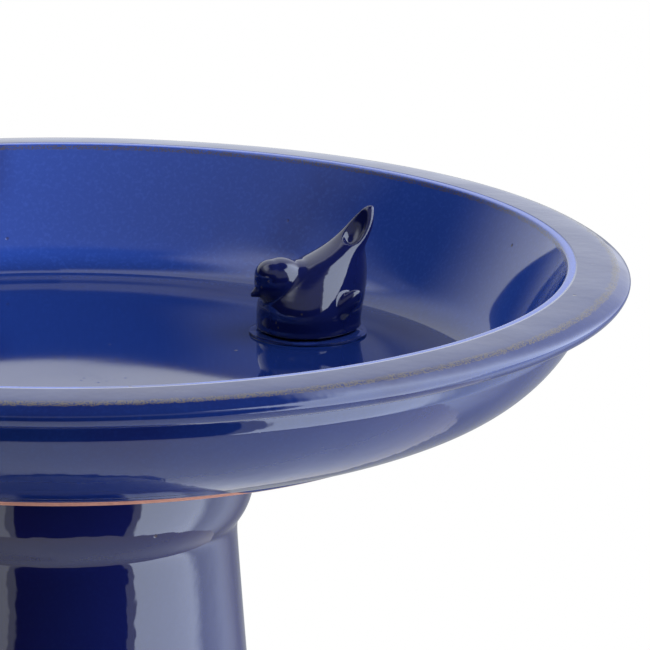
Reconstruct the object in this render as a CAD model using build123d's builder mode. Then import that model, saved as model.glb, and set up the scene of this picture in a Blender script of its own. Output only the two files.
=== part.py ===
from build123d import *

import math
import os

# Bird bath: a shallow glazed bowl with a small bird figure in it, standing loose on a hollow pedestal.
# Millimetres, +Z up. The ground is Z = 0 and the Z axis is the axis of both the bowl and the pedestal.

# Overall sizes
RIM_HEIGHT = 550.0  # ground to the top of the bowl's rim, before its edge is rounded
RIM_DIAMETER = 430.0  # over the widest part of the rim band

# Bowl
BOWL_HEIGHT = 58.0  # flat base to the top of the rim
BASE_INSET = 73.7  # from the rim's widest radius in to the edge of the flat base
BASE_THICKNESS = 9.5
BELLY_INSET = 18.0  # from the rim's widest radius in to the top of the belly, where the cove starts
BELLY_HEIGHT = 38.2  # top of the belly above the flat base
HEEL_REACH = 30.0  # how far out and up the belly's curve sets off from the flat base
HEEL_RISE = 8.6
BELLY_LEAN = 10.0  # how far out and up it comes to the belly's top
BELLY_CLIMB = 19.4
WALL_FOOT_INSET = 42.0  # from the rim's widest radius in to the foot of the inner wall
WALL_FOOT_HEIGHT = 12.5  # foot of the inner wall above the floor
FLOOR_CORNER = 25.0  # reach of the curve between the wall's foot and the flat floor
CORNER_LEAN = 5.0  # how far in that curve sets off from the wall's foot
CORNER_RISE = 5.0  # how high it still is above the floor by then
RIM_TOP_WIDTH = 18.4  # from the inner corner to the ridge
RIM_FALL = 1.5  # the rim's top slopes outwards by this much
BAND_FLARE = 5.6  # the band stands out past the ridge by this much
BAND_SLOPE_HEIGHT = 3.5  # height of the slanted part of the band
BAND_UPRIGHT_HEIGHT = 1.5  # height of the upright part below it
BAND_TUCK_HEIGHT = 3.2  # height of the lip under that
BAND_TUCK = 2.2  # the lip leans back in by this much on its way down
COVE_INSET = 10.0  # from the rim's widest radius in to the cove under the band
COVE_DROP = 2.2  # the band's underside falls by this much on its way in
COVE_RISE = 5.0  # height over which the wall stays upright above the belly
COVE_REACH = 5.0  # how far in and down the cove's curve comes away from the band's underside
COVE_FALL = 1.5
RIM_EDGE_ROUND = 1.2

# Ring under the bowl, which centres it in the pedestal's mouth
RING_WALL = 8.0
RING_DEPTH = 13.0
RING_CLEARANCE = 3.0  # all round, between the ring and the mouth
RING_EDGE_ROUND = 2.0

# Gasket between the bowl and the pedestal
GASKET_THICKNESS = 2.0
GASKET_MARGIN = 1.0  # the gasket stops this far short of the seat's two edges

# Pedestal
NECK_DIAMETER = 133.0  # just under the collar
NECK_WALL = 14.0
COLLAR_HEIGHT = 42.5
COLLAR_BULGE = 7.0  # the collar stands out past the neck by this much
COLLAR_SHOULDER = 9.0  # height over which each end of the collar's curve rounds in
COLUMN_TAPER = 0.085  # radius gained per millimetre going down
FOOT_WALL = 9.0
FOOT_HEIGHT = 34.0
FOOT_SPREAD = 13.0  # the foot stands out past the column by this much
FOOT_LAND = 4.0  # upright edge at the ground
NECK_ROUND = 5.0
SEAT_EDGE_ROUND = 3.0
FOOT_EDGE_ROUND = 1.5

# Bird figure
BIRD_WALL_GAP = 3.0  # between the pool of glaze and the edge of the flat floor
BIRD_BEARING = 37.5  # degrees from +X to the bird, seen from the bowl's axis
BIRD_HEADING = 203.0  # degrees from +X that the bird looks along
BIRD_FOOT_DIAMETER = 38.0
BIRD_BELLY_SWELL = 1.12  # widest girth over the foot's
BIRD_BACK_HEIGHT = 27.0
HEAD_DIAMETER = 18.5
HEAD_REACH = 11.0  # head's centre in front of the body's
HEAD_LEVEL = 19.5  # head's centre above the foot
BEAK_ROOT_REACH = 6.2  # beak's root in front of the head's centre
BEAK_LENGTH = 4.5  # past the head
BEAK_ROOT_DIAMETER = 7.0
BEAK_TIP_DIAMETER = 1.2
BEAK_DROOP = 0.25  # fall per unit of reach
TAIL_ROOT_LEVEL = 7.0
TAIL_TIP_LEVEL = 48.0
TAIL_ROOT_REACH = 8.0  # tail's centre line behind the body's centre, at the root
TAIL_TIP_REACH = 25.5
TAIL_ROOT_WIDTH = 32.0
TAIL_TIP_WIDTH = 5.0
TAIL_ROOT_DEPTH = 20.0
TAIL_TIP_DEPTH = 2.0
TAIL_STATIONS = 5

# Pool of glaze that bonds the bird to the floor
POOL_DIAMETER = 47.0
POOL_THICKNESS = 1.6

# Drawing
HANDLE_PER_BULGE = 4 / 3  # a curve's two handles stand out this much further than the curve itself
LEVEL_MARGIN = 1.0  # an edge counts as being at a level when it is this near

# Bowl levels and radii
rim_radius = RIM_DIAMETER / 2
base_level = RIM_HEIGHT - BOWL_HEIGHT
floor_level = base_level + BASE_THICKNESS
belly_level = base_level + BELLY_HEIGHT
wall_foot_level = floor_level + WALL_FOOT_HEIGHT
ridge_level = RIM_HEIGHT - RIM_FALL
lip_top_level = ridge_level - BAND_SLOPE_HEIGHT
tuck_level = lip_top_level - BAND_UPRIGHT_HEIGHT
lip_level = tuck_level - BAND_TUCK_HEIGHT
cove_level = lip_level - COVE_DROP
base_radius = rim_radius - BASE_INSET
belly_radius = rim_radius - BELLY_INSET
lip_radius = rim_radius - BAND_TUCK
cove_radius = rim_radius - COVE_INSET
ridge_radius = rim_radius - BAND_FLARE
inner_rim_radius = ridge_radius - RIM_TOP_WIDTH
wall_foot_radius = rim_radius - WALL_FOOT_INSET
floor_radius = wall_foot_radius - FLOOR_CORNER

# Pedestal levels and radii
seat_level = base_level - GASKET_THICKNESS
neck_level = seat_level - COLLAR_HEIGHT
neck_radius = NECK_DIAMETER / 2
mouth_radius = neck_radius - NECK_WALL
column_foot_radius = neck_radius + COLUMN_TAPER * (neck_level - FOOT_HEIGHT)
foot_radius = column_foot_radius + FOOT_SPREAD
hollow_foot_radius = column_foot_radius - FOOT_WALL

# Bird's place on the bowl's floor
bird_radius = floor_radius - BIRD_WALL_GAP - POOL_DIAMETER / 2
bird_x = bird_radius * math.cos(math.radians(BIRD_BEARING))
bird_y = bird_radius * math.sin(math.radians(BIRD_BEARING))

# Bowl, turned in one piece: flat base, spreading belly, cove under a slanted band, sloping rim
with BuildPart() as bowl:
    with BuildSketch(Plane.XZ):
        with BuildLine():
            Line((0, base_level), (base_radius, base_level))
            Bezier(
                (base_radius, base_level),
                (base_radius + HEEL_REACH, base_level + HEEL_RISE),
                (belly_radius - BELLY_LEAN, belly_level - BELLY_CLIMB),
                (belly_radius, belly_level),
            )
            Bezier(
                (belly_radius, belly_level),
                (belly_radius, belly_level + COVE_RISE),
                (cove_radius - COVE_REACH, cove_level - COVE_FALL),
                (cove_radius, cove_level),
            )
            Line((cove_radius, cove_level), (lip_radius, lip_level))
            Line((lip_radius, lip_level), (rim_radius, tuck_level))
            Line((rim_radius, tuck_level), (rim_radius, lip_top_level))
            Line((rim_radius, lip_top_level), (ridge_radius, ridge_level))
            Line((ridge_radius, ridge_level), (inner_rim_radius, RIM_HEIGHT))
            Line((inner_rim_radius, RIM_HEIGHT), (wall_foot_radius, wall_foot_level))
            Bezier(
                (wall_foot_radius, wall_foot_level),
                (wall_foot_radius - CORNER_LEAN, floor_level + CORNER_RISE),
                (wall_foot_radius - FLOOR_CORNER / 2, floor_level),
                (floor_radius, floor_level),
            )
            Line((floor_radius, floor_level), (0, floor_level))
            Line((0, floor_level), (0, base_level))
        make_face()
    revolve(axis=Axis.Z)
    rim_circles = bowl.edges().filter_by(GeomType.CIRCLE).filter_by_position(
        Axis.Z, lip_level - RIM_EDGE_ROUND / 2, RIM_HEIGHT + RIM_EDGE_ROUND
    )
    fillet(rim_circles, RIM_EDGE_ROUND)

# Locating ring, bare clay, luted to the underside of the bowl
with BuildPart() as locating_ring:
    with BuildSketch(Plane.XY.offset(base_level - RING_DEPTH)):
        Circle(mouth_radius - RING_CLEARANCE)
        Circle(mouth_radius - RING_CLEARANCE - RING_WALL, mode=Mode.SUBTRACT)
    extrude(amount=RING_DEPTH)
    fillet(locating_ring.edges().group_by(Axis.Z)[0], RING_EDGE_ROUND)

# Seat gasket, a flat rubber washer lying loose on the pedestal's rim
with BuildPart() as seat_gasket:
    with BuildSketch(Plane.XY.offset(seat_level)):
        Circle(neck_radius - SEAT_EDGE_ROUND - GASKET_MARGIN)
        Circle(mouth_radius + GASKET_MARGIN, mode=Mode.SUBTRACT)
    extrude(amount=GASKET_THICKNESS)

# Pedestal, hollow and open at both ends: round collar, crease, tapering column and foot moulding
with BuildPart() as pedestal:
    with BuildSketch(Plane.XZ):
        with BuildLine():
            Line((mouth_radius, seat_level), (neck_radius, seat_level))
            collar_reach = neck_radius + COLLAR_BULGE * HANDLE_PER_BULGE
            Bezier(
                (neck_radius, seat_level),
                (collar_reach, seat_level - COLLAR_SHOULDER),
                (collar_reach, neck_level + COLLAR_SHOULDER),
                (neck_radius, neck_level),
            )
            Line((neck_radius, neck_level), (column_foot_radius, FOOT_HEIGHT))
            Bezier(
                (column_foot_radius, FOOT_HEIGHT),
                (foot_radius, FOOT_HEIGHT),
                (foot_radius, FOOT_HEIGHT / 2),
                (foot_radius, FOOT_LAND),
            )
            Line((foot_radius, FOOT_LAND), (foot_radius, 0))
            Line((foot_radius, 0), (hollow_foot_radius, 0))
            Line((hollow_foot_radius, 0), (hollow_foot_radius, FOOT_HEIGHT))
            Line((hollow_foot_radius, FOOT_HEIGHT), (mouth_radius, neck_level))
            Line((mouth_radius, neck_level), (mouth_radius, seat_level))
        make_face()
    revolve(axis=Axis.Z)
    circles = pedestal.edges().filter_by(GeomType.CIRCLE)
    neck_circles = circles.filter_by_position(Axis.Z, neck_level - LEVEL_MARGIN, neck_level + LEVEL_MARGIN)
    fillet(neck_circles.sort_by(SortBy.RADIUS)[-1], NECK_ROUND)
    seat_circles = pedestal.edges().filter_by(GeomType.CIRCLE).group_by(Axis.Z)[-1]
    fillet(seat_circles.sort_by(SortBy.RADIUS)[-1], SEAT_EDGE_ROUND)
    ground_circles = pedestal.edges().filter_by(GeomType.CIRCLE).group_by(Axis.Z)[0]
    fillet(ground_circles, FOOT_EDGE_ROUND)

# Pool of glaze round the bird's foot, with a concave flank
pool_level = floor_level + POOL_THICKNESS
with BuildPart() as bird_glaze_pool:
    with Locations((bird_x, bird_y, floor_level)):
        Cone(POOL_DIAMETER / 2, BIRD_FOOT_DIAMETER / 2 + POOL_THICKNESS, POOL_THICKNESS,
             align=(Align.CENTER, Align.CENTER, Align.MIN))

# Bird, modelled about its own centre looking along +X: plump body, low head with a small beak, and a
# back that sweeps up into a thin broad tail
with BuildPart() as bird:
    bird_foot_radius = BIRD_FOOT_DIAMETER / 2
    bird_girth_radius = bird_foot_radius * BIRD_BELLY_SWELL
    bird_swell = bird_girth_radius - bird_foot_radius
    with BuildSketch(Plane.XZ):
        with BuildLine():
            Line((0, 0), (bird_foot_radius, 0))
            Bezier(
                (bird_foot_radius, 0),
                (bird_foot_radius + bird_swell * HANDLE_PER_BULGE, BIRD_BACK_HEIGHT / 2),
                (bird_girth_radius, BIRD_BACK_HEIGHT),
                (0, BIRD_BACK_HEIGHT),
            )
            Line((0, BIRD_BACK_HEIGHT), (0, 0))
        make_face()
    revolve(axis=Axis.Z)
    with Locations((HEAD_REACH, 0, HEAD_LEVEL)):
        Sphere(HEAD_DIAMETER / 2)
    beak_plane = Plane(origin=(HEAD_REACH, 0, HEAD_LEVEL), z_dir=(1, 0, -BEAK_DROOP))
    with BuildSketch(beak_plane.offset(BEAK_ROOT_REACH)):
        Circle(BEAK_ROOT_DIAMETER / 2)
    with BuildSketch(beak_plane.offset(HEAD_DIAMETER / 2 + BEAK_LENGTH)):
        Circle(BEAK_TIP_DIAMETER / 2)
    loft()
    for station in range(TAIL_STATIONS):
        share = station / (TAIL_STATIONS - 1)
        level = TAIL_ROOT_LEVEL + (TAIL_TIP_LEVEL - TAIL_ROOT_LEVEL) * share
        reach = TAIL_ROOT_REACH + (TAIL_TIP_REACH - TAIL_ROOT_REACH) * math.sin(share * math.pi / 2)
        width = TAIL_ROOT_WIDTH + (TAIL_TIP_WIDTH - TAIL_ROOT_WIDTH) * share
        depth = TAIL_TIP_DEPTH + (TAIL_ROOT_DEPTH - TAIL_TIP_DEPTH) * (1 - share) ** 2
        with BuildSketch(Plane.XY.offset(level)):
            with Locations((-reach, 0)):
                Ellipse(depth / 2, width / 2)
    loft()

os.makedirs("parts", exist_ok=True)
bowl.part.label = "bowl"
export_step(bowl.part, "parts/bowl.step")
locating_ring.part.label = "locating_ring"
export_step(locating_ring.part, "parts/locating_ring.step")
seat_gasket.part.label = "seat_gasket"
export_step(seat_gasket.part, "parts/seat_gasket.step")
pedestal.part.label = "pedestal"
export_step(pedestal.part, "parts/pedestal.step")
bird_glaze_pool.part.label = "bird_glaze_pool"
export_step(bird_glaze_pool.part, "parts/bird_glaze_pool.step")
bird_in_place = bird.part.moved(Location((bird_x, bird_y, pool_level), (0, 0, BIRD_HEADING)))
bird_in_place.label = "bird"
export_step(bird_in_place, "parts/bird.step")
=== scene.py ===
import math

import bpy
from mathutils import Matrix, Vector


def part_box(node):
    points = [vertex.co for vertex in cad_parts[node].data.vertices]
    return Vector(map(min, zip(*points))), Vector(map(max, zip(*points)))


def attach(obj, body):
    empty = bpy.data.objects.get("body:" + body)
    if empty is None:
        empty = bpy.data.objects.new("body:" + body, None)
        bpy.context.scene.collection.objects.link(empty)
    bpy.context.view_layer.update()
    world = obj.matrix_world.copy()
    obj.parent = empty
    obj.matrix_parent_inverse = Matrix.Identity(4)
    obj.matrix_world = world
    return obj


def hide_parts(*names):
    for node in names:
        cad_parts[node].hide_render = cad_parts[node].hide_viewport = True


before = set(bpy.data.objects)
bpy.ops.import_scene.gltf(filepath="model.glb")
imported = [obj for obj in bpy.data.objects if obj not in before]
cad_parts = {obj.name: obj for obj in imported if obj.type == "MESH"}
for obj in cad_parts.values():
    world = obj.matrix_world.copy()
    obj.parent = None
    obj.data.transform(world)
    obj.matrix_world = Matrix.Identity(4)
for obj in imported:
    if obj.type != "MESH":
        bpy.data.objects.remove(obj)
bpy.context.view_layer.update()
MM = 0.001

# The view. A long lens stands well back and a little above the rim, and looks past the bowl's middle towards
# the bird's side, so the bowl runs out of the picture on the left and the pedestal at the bottom.
rim_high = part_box("bowl")[1]
rim_top = rim_high.z
rim_radius = rim_high.x
look_down = math.radians(13.7)
stand_off = 12 * rim_radius
aim_beside = 0.0387 * stand_off
aim_below = 0.0101 * stand_off
rim_centre = Vector((0, 0, rim_top))
eye = rim_centre + stand_off * Vector((0, -math.cos(look_down), math.sin(look_down)))
tilted_up = Vector((0, math.sin(look_down), math.cos(look_down)))
aim = rim_centre + Vector((aim_beside, 0, 0)) - aim_below * tilted_up
forward = (aim - eye).normalized()
upward = (tilted_up - forward * tilted_up.dot(forward)).normalized()
camera_data = bpy.data.cameras.new("view_camera")
camera_data.lens = 379.5
camera_data.sensor_width = 36
camera_data.clip_end = 50
view_camera = bpy.data.objects.new("view_camera", camera_data)
turned = Matrix((forward.cross(upward), upward, -forward)).transposed().to_4x4()
view_camera.matrix_world = Matrix.Translation(eye) @ turned
bpy.context.scene.collection.objects.link(view_camera)
bpy.context.scene.camera = view_camera
bpy.context.scene.view_settings.view_transform = "Standard"


# The floor. A pale studio table that fades into the white backdrop round its edge.
class Amount:
    """A socket's value, on which sums can be written."""

    def __init__(self, work, socket):
        self.work = work
        self.socket = socket

    def _sum(self, operation, first, second):
        return self.work.node("ShaderNodeMath", {"operation": operation}, {0: first, 1: second})

    def __add__(self, other):
        return self._sum("ADD", self, other)

    def __radd__(self, other):
        return self._sum("ADD", other, self)

    def __sub__(self, other):
        return self._sum("SUBTRACT", self, other)

    def __rsub__(self, other):
        return self._sum("SUBTRACT", other, self)

    def __mul__(self, other):
        return self._sum("MULTIPLY", self, other)

    def __rmul__(self, other):
        return self._sum("MULTIPLY", other, self)

    def __pow__(self, other):
        return self._sum("POWER", self, other)


class Finish:
    """The nodes of a material, or of the light all round."""

    def __init__(self, owner):
        owner.use_nodes = True
        self.owner = owner
        self.tree = owner.node_tree
        self.tree.nodes.clear()

    def node(self, kind, settings=None, inputs=None, output=0):
        """A node with its settings and inputs, each a value or an Amount. Gives back one of its outputs."""
        made = self.tree.nodes.new(kind)
        for name, value in (settings or {}).items():
            setattr(made, name, value)
        for name, value in (inputs or {}).items():
            if isinstance(value, Amount):
                self.tree.links.new(value.socket, made.inputs[name])
            else:
                made.inputs[name].default_value = value
        return Amount(self, made.outputs[output]) if made.outputs else made

    def mix(self, share, first, second):
        """The first colour turning to the second as share goes from 0 to 1."""
        paints = [(*c, 1) if isinstance(c, tuple) else c for c in (first, second)]
        return self.node("ShaderNodeMix", {"data_type": "RGBA"}, {0: share, 6: paints[0], 7: paints[1]}, 2)

    def step(self, value, start, end):
        """0 below start, 1 past end, and a smooth rise between."""
        return self.node(
            "ShaderNodeMapRange",
            {"interpolation_type": "SMOOTHSTEP"},
            {"Value": value, "From Min": start, "From Max": end},
        )

    def surface(self, shader):
        kind = "World" if self.owner.id_type == "WORLD" else "Material"
        self.node(f"ShaderNodeOutput{kind}", None, {0: shader})
        return self.owner


def deselect():
    for thing in bpy.context.selected_objects:
        thing.select_set(False)


floor_reach = 0.62
table_paint = (0.80, 0.79, 0.77)
floor_finish = Finish(bpy.data.materials.new("studio_table"))
floor_place = floor_finish.node("ShaderNodeTexCoord", output="Object")
floor_distance = floor_finish.node("ShaderNodeVectorMath", {"operation": "LENGTH"}, {0: floor_place}, 1)
floor_matte = floor_finish.node("ShaderNodeBsdfDiffuse", None, {"Color": (*table_paint, 1)})
floor_white = floor_finish.node("ShaderNodeEmission", None, {"Color": (1, 1, 1, 1), "Strength": 1.0})
floor_fade = floor_finish.step(floor_distance, floor_reach * 0.55, floor_reach * 0.98)
deselect()
bpy.ops.mesh.primitive_circle_add(vertices=96, radius=floor_reach, fill_type="NGON", location=(0, 0, 0))
studio_table = bpy.context.object
studio_table.name = "studio_table"
floor_layers = {0: floor_fade, 1: floor_matte, 2: floor_white}
floor_shader = floor_finish.node("ShaderNodeMixShader", None, floor_layers)
studio_table.data.materials.append(floor_finish.surface(floor_shader))

# The studio light. White paper hangs behind, a tall bluish soft panel stands to the right of the camera and
# a low one to its left, and the dark studio shows between them, under a dim ceiling. The eye itself sees white
# all round. Bearings are in degrees, to the right from the camera, and heights are the elevation's sine.
studio = Finish(bpy.data.worlds.new("studio"))
bpy.context.scene.world = studio.owner
way = studio.node("ShaderNodeTexCoord", output="Generated")
east = studio.node("ShaderNodeSeparateXYZ", None, {0: way}, 0)
north = studio.node("ShaderNodeSeparateXYZ", None, {0: way}, 1)
height = studio.node("ShaderNodeSeparateXYZ", None, {0: way}, 2)
bearing = studio.node("ShaderNodeMath", {"operation": "ARCTAN2"}, {0: east, 1: 0 - north}) * (180 / math.pi)
paper = 1.15
right_light = 5.0
left_light = 2.0
panel_frame = 0.9
dark_studio = 0.02
ceiling_edge = 0.5
ceiling_middle = 0.08
left_ceiling = 1.6
table_shade = 0.62
plain_white = (1.0, 1.0, 1.0)
paper_colour = (0.94, 0.98, 1.04)
panel_colour = (0.86, 0.96, 1.12)
right_frame = studio.step(bearing, 42, 43)
right_panel = studio.step(bearing, 47, 48)
below_top = 1 - studio.step(height, 0.86, 0.92)
right_end = studio.step(bearing, 118, 150)
low = 1 - studio.step(height, 0.10, 0.20)
left_frame = studio.step(0 - bearing, 28, 29) * low
left_panel = studio.step(0 - bearing, 33, 34) * low
left_end = studio.step(0 - bearing, 48, 58) * low
left_paper = studio.step(0 - bearing, 108, 140)
sides = dark_studio + right_frame * panel_frame + right_panel * (right_light - panel_frame)
sides = sides - right_end * (right_light - paper) + left_frame * panel_frame
sides = sides + left_panel * (left_light - panel_frame) - left_end * left_light + left_paper * paper
in_front = 1 - studio.step(bearing, 42, 50) * below_top
ceiling = studio.step(height, 0.44, 0.56) * in_front * (1 - studio.step(north, 0.33, 0.45))
left_high = studio.step(0 - bearing, 40, 75) * (1 - studio.step(height, 0.90, 0.97))
ceiling_level = ceiling_edge - studio.step(height, 0.80, 0.93) * (ceiling_edge - ceiling_middle)
ceiling_level = ceiling_level + left_high * studio.step(height, 0.60, 0.75) * left_ceiling
light_level = sides * (1 - ceiling) + ceiling_level * ceiling
table_behind = studio.step(0 - height, 0.0, 0.1) * studio.step(north, 0.0, 0.2)
light_level = light_level * (1 - table_behind * table_shade)
seen = studio.node("ShaderNodeLightPath", output="Is Camera Ray")
light_level = light_level * (1 - seen) + seen
light_colour = studio.mix(right_panel * (1 - right_end), paper_colour, panel_colour)
light_colour = studio.mix(seen, light_colour, plain_white)
studio.surface(studio.node("ShaderNodeBackground", None, {"Color": light_colour, "Strength": light_level}))


# The bowl. Thrown on the wheel in one piece, wiped clean underneath and dipped in cobalt glaze, which breaks
# to brown on the rim's two edges and stops in a line above the bare clay of the flat base.
def throw(name, profile, around):
    """A turned wall: each (radius, height) of the profile pulls the ring before it up, out or in."""
    deselect()
    radius, level = profile[0]
    bpy.ops.mesh.primitive_circle_add(vertices=around, radius=radius, location=(0, 0, level))
    pot = bpy.context.object
    pot.name = name
    bpy.ops.object.transform_apply(location=True, rotation=True, scale=True)
    bpy.ops.object.mode_set(mode="EDIT")
    for next_radius, next_level in profile[1:]:
        bpy.ops.mesh.extrude_edges_move(TRANSFORM_OT_translate={"value": (0, 0, next_level - level)})
        grow = next_radius / radius
        bpy.ops.transform.resize(value=(grow, grow, 1), center_override=(0, 0, next_level))
        radius, level = next_radius, next_level
    bpy.ops.object.mode_set(mode="OBJECT")
    return pot


def select_rings(pot, *rings):
    """Selects whole rings of a turned wall, each given by its radius and height, in edit mode."""
    bpy.ops.object.mode_set(mode="EDIT")
    bpy.ops.mesh.select_mode(type="VERT")
    bpy.ops.mesh.select_all(action="DESELECT")
    bpy.ops.object.mode_set(mode="OBJECT")
    for vertex in pot.data.vertices:
        across = math.hypot(vertex.co.x, vertex.co.y)
        vertex.select = any(math.dist((across, vertex.co.z), ring) < 0.01 * MM for ring in rings)
    bpy.ops.object.mode_set(mode="EDIT")


def close_centre(pot, ring):
    """Draws the smallest ring together on the wheel's axis."""
    select_rings(pot, ring)
    bpy.ops.mesh.merge(type="CENTER")
    bpy.ops.object.mode_set(mode="OBJECT")


def face_outwards(pot):
    """Joins what lies together, and turns every face outwards."""
    bpy.ops.object.mode_set(mode="EDIT")
    bpy.ops.mesh.select_all(action="SELECT")
    bpy.ops.mesh.remove_doubles(threshold=1e-6)
    bpy.ops.mesh.normals_make_consistent(inside=False)
    bpy.ops.object.mode_set(mode="OBJECT")


def soften(pot, rounds, wobble, spread):
    """Rounds the turned wall, and gives it the slight unevenness of handwork, always inwards."""
    smooth = pot.modifiers.new("round", "SUBSURF")
    smooth.levels = rounds
    smooth.render_levels = rounds
    bpy.ops.object.modifier_apply(modifier=smooth.name)
    uneven = bpy.data.textures.new(f"{pot.name}_uneven", "CLOUDS")
    uneven.noise_scale = spread
    uneven.noise_depth = 1
    hand = pot.modifiers.new("hand", "DISPLACE")
    hand.texture = uneven
    hand.texture_coords = "LOCAL"
    hand.mid_level = 1.0
    hand.strength = wobble
    bpy.ops.object.modifier_apply(modifier=hand.name)
    bpy.ops.object.shade_smooth()


def sweep(start, first_pull, last_pull, end, steps):
    """Points along a smooth curve, its first left out."""
    points = []
    for index in range(1, steps + 1):
        t = index / steps
        shares = ((1 - t) ** 3, 3 * t * (1 - t) ** 2, 3 * t * t * (1 - t), t**3)
        corners = (start, first_pull, last_pull, end)
        radius = sum(share * corner[0] for share, corner in zip(shares, corners))
        level = sum(share * corner[1] for share, corner in zip(shares, corners))
        points.append((radius, level))
    return points


# Each point is a radius and a drop below the rim, in mm, from the middle of the base to the middle inside.
bowl_underside = [(4, 58), (60, 58), (110, 58), (134, 58), (139.6, 58), (141.4, 57.7)]
bowl_bare_edge = [(144.4, 57.2), (145.8, 56.7), (146.3, 56.2), (146.5, 55.3), (147.6, 54.9)]
bowl_belly = sweep((147.6, 54.9), (172, 49.2), (187.2, 39.2), (197.4, 19.8), 12)
bowl_cove = [(197.9, 18.9), (198.3, 17.2), (198.6, 14.6), (199.0, 12.9), (200.2, 12.1)]
bowl_cove += [(204.0, 11.6), (208.0, 11.0)]
bowl_band = [(211.4, 10.5), (213.0, 9.5), (214.2, 7.9), (214.9, 6.5), (214.9, 5.1), (213.2, 3.7)]
bowl_band += [(211.2, 2.5)]
bowl_ridge = [(209.7, 1.6), (208.2, 1.15)]
bowl_rim = [(205.0, 0.75), (200.0, 0.35), (195.0, 0.1), (192.2, 0.05)]
bowl_inner_edge = [(191.2, 0.2), (190.7, 0.8), (189.9, 2.4)]
bowl_wall = [(187.0, 8.0), (182.5, 17.0), (178.0, 26.0)]
bowl_corner = sweep((175.0, 32.0), (168.5, 43.8), (160.5, 48.5), (148.0, 48.5), 7)
bowl_floor = [(136, 48.5), (110, 48.5), (85, 48.55), (60, 48.85), (40, 49.35), (20, 49.7), (4, 49.75)]
bowl_profile = bowl_underside + bowl_bare_edge + bowl_belly + bowl_cove + bowl_band + bowl_ridge
bowl_profile += bowl_rim + bowl_inner_edge + bowl_wall + bowl_corner + bowl_floor
fullness = 1.0012  # makes up for what the rounding takes off
bowl_wobble = 0.3 * MM
bowl_profile = [(r * fullness * MM, rim_top - drop * MM) for r, drop in bowl_profile]
bowl_piece = throw("bowl_glazed", bowl_profile, 96)
close_centre(bowl_piece, bowl_profile[0])
close_centre(bowl_piece, bowl_profile[-1])
face_outwards(bowl_piece)
soften(bowl_piece, 2, bowl_wobble, 90 * MM)


def cobalt_glaze(name, deep, open_blue, open_share, bare, worn, waves=1.5, slant=None):
    """Glossy cobalt glaze, deep where it is thick and open_blue by open_share. The functions work out, from
    the distance to the axis and the height, where it is open, where the clay is bare, where the glaze breaks
    to brown, how wavy it lies, and how the surface leans."""
    dusk_blue = (0.006, 0.004, 0.055)
    milk_blue = (0.05, 0.13, 0.55)
    broken_brown = (0.105, 0.080, 0.045)
    pit_brown = (0.05, 0.03, 0.02)
    fired_clay = (0.34, 0.13, 0.085), (0.50, 0.23, 0.16)
    glaze_depth = 0.6 * MM
    glaze = Finish(bpy.data.materials.new(name))
    place = glaze.node("ShaderNodeTexCoord", output="Object")
    split = [glaze.node("ShaderNodeSeparateXYZ", None, {0: place}, axis) for axis in range(3)]
    across = (split[0] * split[0] + split[1] * split[1]) ** 0.5
    level = split[2]

    def noise(scale, detail=2.0, stretch=(1, 1, 1)):
        spot = glaze.node("ShaderNodeMapping", None, {"Vector": place, "Scale": stretch})
        return glaze.node("ShaderNodeTexNoise", None, {"Vector": spot, "Scale": scale, "Detail": detail})

    def cells(scale):
        return glaze.node("ShaderNodeTexVoronoi", None, {"Vector": place, "Scale": scale})

    grain = noise(700, 3)
    speckle = noise(1500, 1)
    patches = noise(16, 2, (1, 1, 0.3))
    open_share = open_share(glaze, across, level) if callable(open_share) else open_share
    tone = glaze.mix(open_share, deep, open_blue)
    dusk = glaze.mix(0.75, tone, dusk_blue)
    tone = glaze.mix(glaze.step(patches, 0.52, 0.72) * 0.55, tone, dusk)
    milky = glaze.mix(0.5, tone, milk_blue)
    tone = glaze.mix(glaze.step(grain, 0.45, 0.75) * open_share * 0.6, tone, milky)
    worn_share = worn(glaze, across, level)
    breaking = glaze.step(noise(300, 3) + worn_share, 1.0, 1.35)
    breaking = breaking * glaze.step(speckle, 0.38, 0.55)
    tone = glaze.mix(breaking * 0.7, tone, broken_brown)
    pit = (1 - glaze.step(cells(95), 0.05, 0.085)) * glaze.step(noise(55), 0.60, 0.66)
    tone = glaze.mix(pit * 0.85, tone, pit_brown)
    clay = glaze.mix(noise(500, 3), *fired_clay)
    bare_share = bare(glaze, across, level)
    tone = glaze.mix(bare_share, tone, clay)
    bubble = 1 - glaze.step(cells(260), 0.0, 0.16)
    bubble = bubble * glaze.step(noise(40), 0.55, 0.62)
    swell = waves(glaze, across, level) if callable(waves) else waves
    relief = noise(26, 1) * swell + noise(170, 1) * swell * 0.1 + bubble * 0.06 - pit * 0.2
    if slant:
        relief = relief + slant(glaze, split[1], across, level)
    relief = relief * (1 - bare_share) + grain * bare_share * 0.3
    bump = glaze.node("ShaderNodeBump", None, {"Strength": 1.0, "Distance": glaze_depth, "Height": relief})
    shader = glaze.node(
        "ShaderNodeBsdfPrincipled",
        None,
        {
            "Base Color": tone,
            "Roughness": 0.05 + breaking * 0.2 + bare_share * 0.75,
            "IOR": 1.52,
            "Normal": bump,
        },
    )
    return glaze.surface(shader)


def bowl_bare(glaze, across, level):
    """The base is wiped clean up to a line, below which the glaze has run a little on the bird's side."""
    place = glaze.node("ShaderNodeTexCoord", output="Object")
    sideways = glaze.node("ShaderNodeSeparateXYZ", None, {0: place}, 0)
    run = glaze.step(sideways, 60 * MM, 70 * MM) * 1.5 * MM
    return 1 - glaze.step(level + run, rim_top - 55.2 * MM, rim_top - 54.9 * MM)


def bowl_worn(glaze, across, level):
    """The glaze breaks on the two edges of the rim."""
    near_rim = glaze.step(level, rim_top - 3 * MM, rim_top - 1.8 * MM)
    ridge = glaze.step(across, rim_radius - 10 * MM, rim_radius - 6.0 * MM)
    inner = 1 - glaze.step(across, rim_radius - 24.2 * MM, rim_radius - 23.2 * MM)
    return near_rim * (ridge + inner) * 0.9


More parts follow.
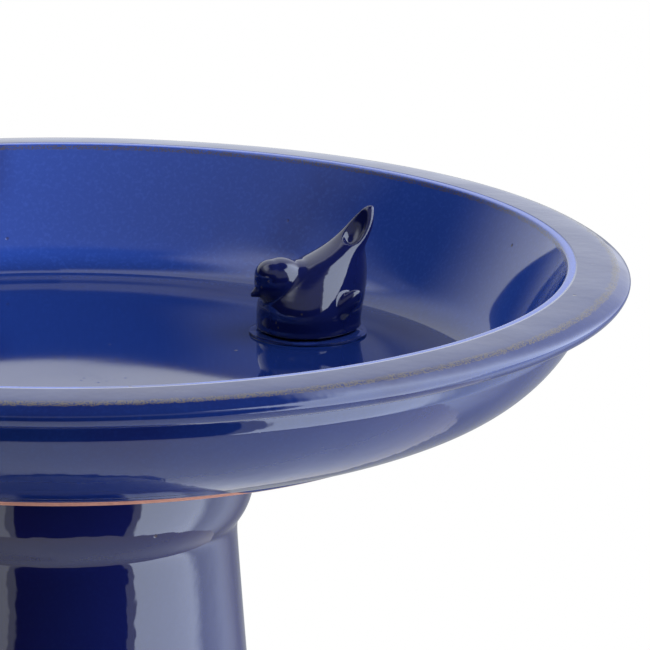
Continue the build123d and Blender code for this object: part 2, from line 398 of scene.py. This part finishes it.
def bowl_inside(glaze, across, level):
    """1 on the floor and the wall inside, 0 elsewhere."""
    lining = rim_radius - 20.5 * MM - (rim_top - level) * 0.55
    within = 1 - glaze.step(across - lining, -0.5 * MM, 0.5 * MM)
    return within * glaze.step(level, rim_top - 52 * MM, rim_top - 51 * MM)


def bowl_open(glaze, across, level):
    """Thin and bright on the wall inside, deeper on the floor and outside."""
    up_the_wall = glaze.step(level, rim_top - 49.5 * MM, rim_top - 38 * MM)
    return bowl_inside(glaze, across, level) * up_the_wall * 0.9 + 0.1


def bowl_waves(glaze, across, level):
    """Wavy outside, where it ran, and nearly flat inside."""
    return 1.2 - bowl_inside(glaze, across, level) * 1.175


def floor_slant(glaze, depth, across, level):
    """The floor is not quite level: it climbs a little towards the back."""
    floor_climb = 7.5
    below_wall = 1 - glaze.step(level, rim_top - 48.3 * MM, rim_top - 46 * MM)
    return bowl_inside(glaze, across, level) * below_wall * depth * floor_climb


bowl_deep_blue = (0.003, 0.010, 0.068)
bowl_open_blue = (0.026, 0.072, 0.36)
bowl_glaze = cobalt_glaze(
    "bowl_glaze", bowl_deep_blue, bowl_open_blue, bowl_open, bowl_bare, bowl_worn, bowl_waves, floor_slant
)
bowl_piece.data.materials.append(bowl_glaze)
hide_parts("bowl")
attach(bowl_piece, "bowl")

# The locating ring. A coil of the same clay, left bare and luted to the underside, that drops into the
# pedestal's mouth and keeps the loose bowl in the middle.
clay_finish = Finish(bpy.data.materials.new("bare_clay"))
clay_place = clay_finish.node("ShaderNodeTexCoord", output="Object")
clay_grain = clay_finish.node("ShaderNodeTexNoise", None, {"Vector": clay_place, "Scale": 600, "Detail": 4})
clay_rings = clay_finish.node(
    "ShaderNodeTexWave", {"bands_direction": "Z"}, {"Vector": clay_place, "Scale": 120, "Distortion": 2.0}, 1
)
dark_clay = (0.36, 0.15, 0.07)
pale_clay = (0.60, 0.31, 0.18)
clay_colour = clay_finish.mix(clay_grain, dark_clay, pale_clay)
clay_bump = clay_finish.node(
    "ShaderNodeBump", None, {"Strength": 0.5, "Distance": 0.5 * MM, "Height": clay_grain + clay_rings * 0.4}
)
bare_clay = clay_finish.surface(
    clay_finish.node(
        "ShaderNodeBsdfPrincipled",
        None,
        {"Base Color": clay_colour, "Roughness": 0.75 + clay_grain * 0.2, "Normal": clay_bump},
    )
)
ring_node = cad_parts["locating_ring"]
ring_node.data.materials.clear()
ring_node.data.materials.append(bare_clay)

# The seat gasket. A flat washer cut from black rubber sheet, which lies loose on the pedestal's rim and
# keeps glaze from grinding on glaze.
rubber_finish = Finish(bpy.data.materials.new("black_rubber"))
rubber_place = rubber_finish.node("ShaderNodeTexCoord", output="Object")
fine_noise = {"Vector": rubber_place, "Scale": 900, "Detail": 3}
broad_noise = {"Vector": rubber_place, "Scale": 60, "Detail": 3}
rubber_grain = rubber_finish.node("ShaderNodeTexNoise", None, fine_noise)
rubber_dust = rubber_finish.node("ShaderNodeTexNoise", None, broad_noise)
clean_rubber = (0.012, 0.012, 0.013)
dusty_rubber = (0.045, 0.043, 0.040)
rubber_colour = rubber_finish.mix(rubber_dust, clean_rubber, dusty_rubber)
rubber_bump = rubber_finish.node(
    "ShaderNodeBump", None, {"Strength": 0.3, "Distance": 0.2 * MM, "Height": rubber_grain}
)
black_rubber = rubber_finish.surface(
    rubber_finish.node(
        "ShaderNodeBsdfPrincipled",
        None,
        {"Base Color": rubber_colour, "Roughness": 0.55 + rubber_dust * 0.3, "Normal": rubber_bump},
    )
)
gasket_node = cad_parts["seat_gasket"]
gasket_node.data.materials.clear()
gasket_node.data.materials.append(black_rubber)

# The pedestal. Thrown hollow and open at both ends, with a round collar, a crease under it and a column that
# widens to a foot moulding. It is glazed outside and bare inside and under the foot.
seat_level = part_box("pedestal")[1].z
foot_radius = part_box("pedestal")[1].x
# Each point is a radius and a height, in mm, from inside the mouth over the outside to inside the foot.
pedestal_mouth = [(52.5, 447.0), (52.5, 470.0), (52.5, 488.4), (53.4, 489.8)]
pedestal_seat = [(57.0, 490.0), (63.0, 490.0), (66.0, 489.2)]
pedestal_collar = sweep((66.0, 489.2), (77.4, 482.5), (76.6, 457.5), (68.6, 449.6), 8)
pedestal_crease = [(67.9, 447.9), (67.6, 445.2), (67.8, 441.0)]
pedestal_column = [(68.5, 432.0), (71.5, 395.8), (77.2, 329.0), (84.9, 238.0), (92.9, 142.0), (99.3, 64.0)]
pedestal_column += [(101.4, 39.0)]
pedestal_foot = sweep((101.5, 36.0), (115.4, 33.5), (114.8, 17.0), (114.6, 5.0), 8)
pedestal_under = [(114.6, 1.6), (113.4, 0.2), (109.0, 0.02), (98.0, 0.02), (94.2, 0.2), (92.9, 1.5)]
pedestal_under += [(92.5, 6.0), (92.5, 32.0)]
pedestal_profile = pedestal_mouth + pedestal_seat + pedestal_collar + pedestal_crease
pedestal_profile += pedestal_column + pedestal_foot + pedestal_under
pedestal_profile = [(r * MM, z * MM) for r, z in pedestal_profile]
pedestal_wobble = 0.25 * MM
pedestal_piece = throw("pedestal_glazed", pedestal_profile, 64)
select_rings(pedestal_piece, pedestal_profile[0], pedestal_profile[-1])
bpy.ops.mesh.select_mode(type="EDGE")
bpy.ops.mesh.bridge_edge_loops()
bpy.ops.object.mode_set(mode="OBJECT")
face_outwards(pedestal_piece)
soften(pedestal_piece, 2, pedestal_wobble, 80 * MM)


def pedestal_bare(glaze, across, level):
    """Bare inside, under the foot and on the seat."""
    outer_skin = foot_radius - 13.5 * MM - (level - 34 * MM) * 0.085
    inside = 1 - glaze.step(across - outer_skin, -8 * MM, -6.5 * MM)
    underneath = 1 - glaze.step(level, 1.2 * MM, 1.8 * MM)
    seat = glaze.step(level, seat_level - 0.9 * MM, seat_level - 0.5 * MM)
    return glaze.step(inside + underneath + seat, 0.2, 0.8)


def pedestal_worn(glaze, across, level):
    """The glaze breaks on the lower edge of the foot."""
    return (1 - glaze.step(level, 2.5 * MM, 5 * MM)) * 0.8


def pedestal_open(glaze, across, level):
    """A little thinner below the collar, where the glaze ran off."""
    return 0.02 + (1 - glaze.step(level, seat_level - 70 * MM, seat_level)) * 0.02


pedestal_deep_blue = (0.0035, 0.0045, 0.046)
pedestal_open_blue = (0.018, 0.055, 0.30)
pedestal_glaze = cobalt_glaze(
    "pedestal_glaze", pedestal_deep_blue, pedestal_open_blue, pedestal_open, pedestal_bare, pedestal_worn
)
pedestal_piece.data.materials.append(pedestal_glaze)
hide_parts("pedestal")
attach(pedestal_piece, "pedestal")

# The pool of glaze. In the kiln the glaze ran down the bird and set round its foot in a thin uneven puddle,
# which is what holds the bird to the bowl.
pool_low, pool_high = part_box("bird_glaze_pool")
bird_spot = Vector(((pool_low.x + pool_high.x) / 2, (pool_low.y + pool_high.y) / 2, pool_low.z))
pool_edge = [(1.0, 0.0), (12, 0.0), (21.5, 0.0), (23.2, 0.05), (23.5, 0.35), (22.9, 0.8), (21.6, 1.3)]
pool_top = [(20.2, 1.6), (18, 1.65), (10, 1.6), (1.0, 1.6)]
pool_profile = [(r * MM, z * MM) for r, z in pool_edge + pool_top]
pool_wobble = 1.2 * MM
pool_piece = throw("bird_glaze_puddle", pool_profile, 48)
close_centre(pool_piece, pool_profile[0])
close_centre(pool_piece, pool_profile[-1])
face_outwards(pool_piece)
soften(pool_piece, 2, pool_wobble, 20 * MM)
pool_piece.location = bird_spot
bpy.ops.object.transform_apply(location=True, rotation=True, scale=True)


def nowhere(glaze, across, level):
    """0 on any piece, since none is metres tall."""
    return glaze.step(level, 9.0, 10.0)


pool_deep_blue = (0.006, 0.008, 0.07)
pool_open_blue = (0.03, 0.07, 0.30)
pool_glaze = cobalt_glaze("puddle_glaze", pool_deep_blue, pool_open_blue, 0.3, nowhere, nowhere)
pool_piece.data.materials.append(pool_glaze)
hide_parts("bird_glaze_pool")
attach(pool_piece, "bowl")

# The bird. Pinched from one lump of clay: a full breast, a low head with a stub of a beak, small raised
# wings and a back that sweeps up into a spoon-shaped tail. It is glazed all over, thin and brown on its
# sharp edges.
bird_heading = math.radians(203)
bird_sunk = 0.1 * MM
clay_fineness = 0.45 * MM
# Each slice of the body and tail: its height, how far forward its middle is, half its length and half its
# width, in mm, and how far it is turned, in degrees.
bird_slices = [
    (0.0, -1.0, 22.0, 20.4, 0),
    (0.7, -1.0, 20.9, 19.3, 0),
    (2.2, -1.0, 20.5, 18.9, 0),
    (7.0, -1.0, 21.0, 19.6, 0),
    (12.0, -2.0, 21.4, 18.8, 0),
    (17.0, -3.8, 20.6, 16.8, 0),
    (21.5, -6.0, 18.8, 14.6, 3),
    (25.0, -8.6, 16.2, 12.6, 7),
    (27.4, -10.8, 13.8, 11.2, 11),
    (29.3, -13.0, 11.2, 10.0, 15),
    (31.5, -15.4, 8.2, 8.8, 20),
    (34.0, -18.2, 5.8, 8.0, 25),
    (36.8, -20.5, 4.2, 7.0, 29),
    (39.6, -22.5, 3.2, 6.0, 31),
    (42.6, -24.1, 2.5, 4.6, 32),
    (45.2, -25.5, 1.7, 2.9, 32),
    (46.9, -26.8, 0.9, 1.2, 32),
]
deselect()
height_now, centre_now, half_long, half_wide, turn_now = bird_slices[0]
bpy.ops.mesh.primitive_circle_add(vertices=48, radius=1 * MM, fill_type="NGON", location=(0, 0, 0))
bird_piece = bpy.context.object
bird_piece.name = "bird_glazed"
bpy.ops.object.mode_set(mode="EDIT")
bpy.ops.transform.resize(value=(half_long, half_wide, 1), center_override=(0, 0, 0))
bpy.ops.transform.translate(value=(centre_now * MM, 0, height_now * MM))
for slice_height, slice_centre, slice_long, slice_wide, slice_turn in bird_slices[1:]:
    climb = ((slice_centre - centre_now) * MM, 0, (slice_height - height_now) * MM)
    bpy.ops.mesh.extrude_region_move(TRANSFORM_OT_translate={"value": climb})
    middle = (slice_centre * MM, 0, slice_height * MM)
    bpy.ops.transform.rotate(value=math.radians(turn_now), orient_axis="Z", center_override=middle)
    growth = (slice_long / half_long, slice_wide / half_wide, 1)
    bpy.ops.transform.resize(value=growth, center_override=middle)
    bpy.ops.transform.rotate(value=-math.radians(slice_turn), orient_axis="Z", center_override=middle)
    height_now, centre_now, turn_now = slice_height, slice_centre, slice_turn
    half_long, half_wide = slice_long, slice_wide
bpy.ops.object.mode_set(mode="OBJECT")
bird_taper = bird_piece.modifiers.new("breast", "SIMPLE_DEFORM")
bird_taper.deform_method = "TAPER"
bird_taper.deform_axis = "X"
bird_taper.lock_z = True
bird_taper.factor = 0.5
bpy.ops.object.modifier_apply(modifier=bird_taper.name)
bird_round = bird_piece.modifiers.new("round", "SUBSURF")
bird_round.levels = 1
bird_round.render_levels = 1
bpy.ops.object.modifier_apply(modifier=bird_round.name)


def lump(place, size, turn=0.0, twist=0.0):
    """A thumb-rounded lump of clay, to be pressed onto the bird."""
    middle = [along * MM for along in place]
    bpy.ops.mesh.primitive_uv_sphere_add(
        segments=32, ring_count=16, radius=MM, location=middle, rotation=(0, turn, twist), scale=size
    )
    return bpy.context.object


def knead(clay):
    """Works whatever is pressed together into one skin of clay."""
    blend = clay.modifiers.new("knead", "REMESH")
    blend.mode = "VOXEL"
    blend.voxel_size = clay_fineness
    bpy.ops.object.modifier_apply(modifier=blend.name)


deselect()
head = lump((12.0, 0, 19.6), (10.4, 9.4, 9.8))
brow = lump((15.8, 0, 22.4), (6.6, 7.4, 6.6))
neck = lump((3.0, 0, 16.6), (15.0, 12.0, 11.2))
wings = [lump((-8.0, side * 16.2, 11.5), (9.0, 2.4, 4.0), math.radians(40)) for side in (1, -1)]
bpy.ops.mesh.primitive_cone_add(
    vertices=24,
    radius1=7.4 * MM,
    radius2=0.7 * MM,
    depth=13 * MM,
    location=(18.6 * MM, 0, 17.8 * MM),
    rotation=(0, math.radians(112), 0),
)
beak = bpy.context.object
for lump_piece in [head, brow, neck, beak, *wings]:
    lump_piece.select_set(True)
bird_piece.select_set(True)
bpy.context.view_layer.objects.active = bird_piece
bpy.ops.object.join()
knead(bird_piece)
deselect()
spoon = lump((-18.4, 2.6, 42.0), (5.0, 5.4, 10.0), math.radians(-24), math.radians(30))
spoon.name = "spoon_hollow"
deselect()
bird_piece.select_set(True)
bpy.context.view_layer.objects.active = bird_piece
hollow = bird_piece.modifiers.new("hollow", "BOOLEAN")
hollow.operation = "DIFFERENCE"
hollow.object = spoon
bpy.ops.object.modifier_apply(modifier=hollow.name)
bpy.data.objects.remove(spoon)
knead(bird_piece)
bird_smooth = bird_piece.modifiers.new("thumb", "SMOOTH")
bird_smooth.factor = 0.5
bird_smooth.iterations = 12
bpy.ops.object.modifier_apply(modifier=bird_smooth.name)
bpy.ops.object.shade_smooth()
bird_piece.rotation_euler.z = bird_heading
bird_piece.location = Vector((bird_spot.x, bird_spot.y, pool_high.z - bird_sunk))
bpy.ops.object.transform_apply(location=True, rotation=True, scale=True)


def bird_worn(glaze, across, level):
    """The glaze breaks wherever the clay has a sharp edge."""
    edge = glaze.node("ShaderNodeNewGeometry", output="Pointiness")
    return glaze.step(edge, 0.53, 0.58) * 0.8


bird_deep_blue = (0.0035, 0.0045, 0.046)
bird_open_blue = (0.02, 0.06, 0.30)
bird_glaze = cobalt_glaze("bird_glaze", bird_deep_blue, bird_open_blue, 0.04, nowhere, bird_worn)
bird_piece.data.materials.append(bird_glaze)
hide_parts("bird")
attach(bird_piece, "bowl")
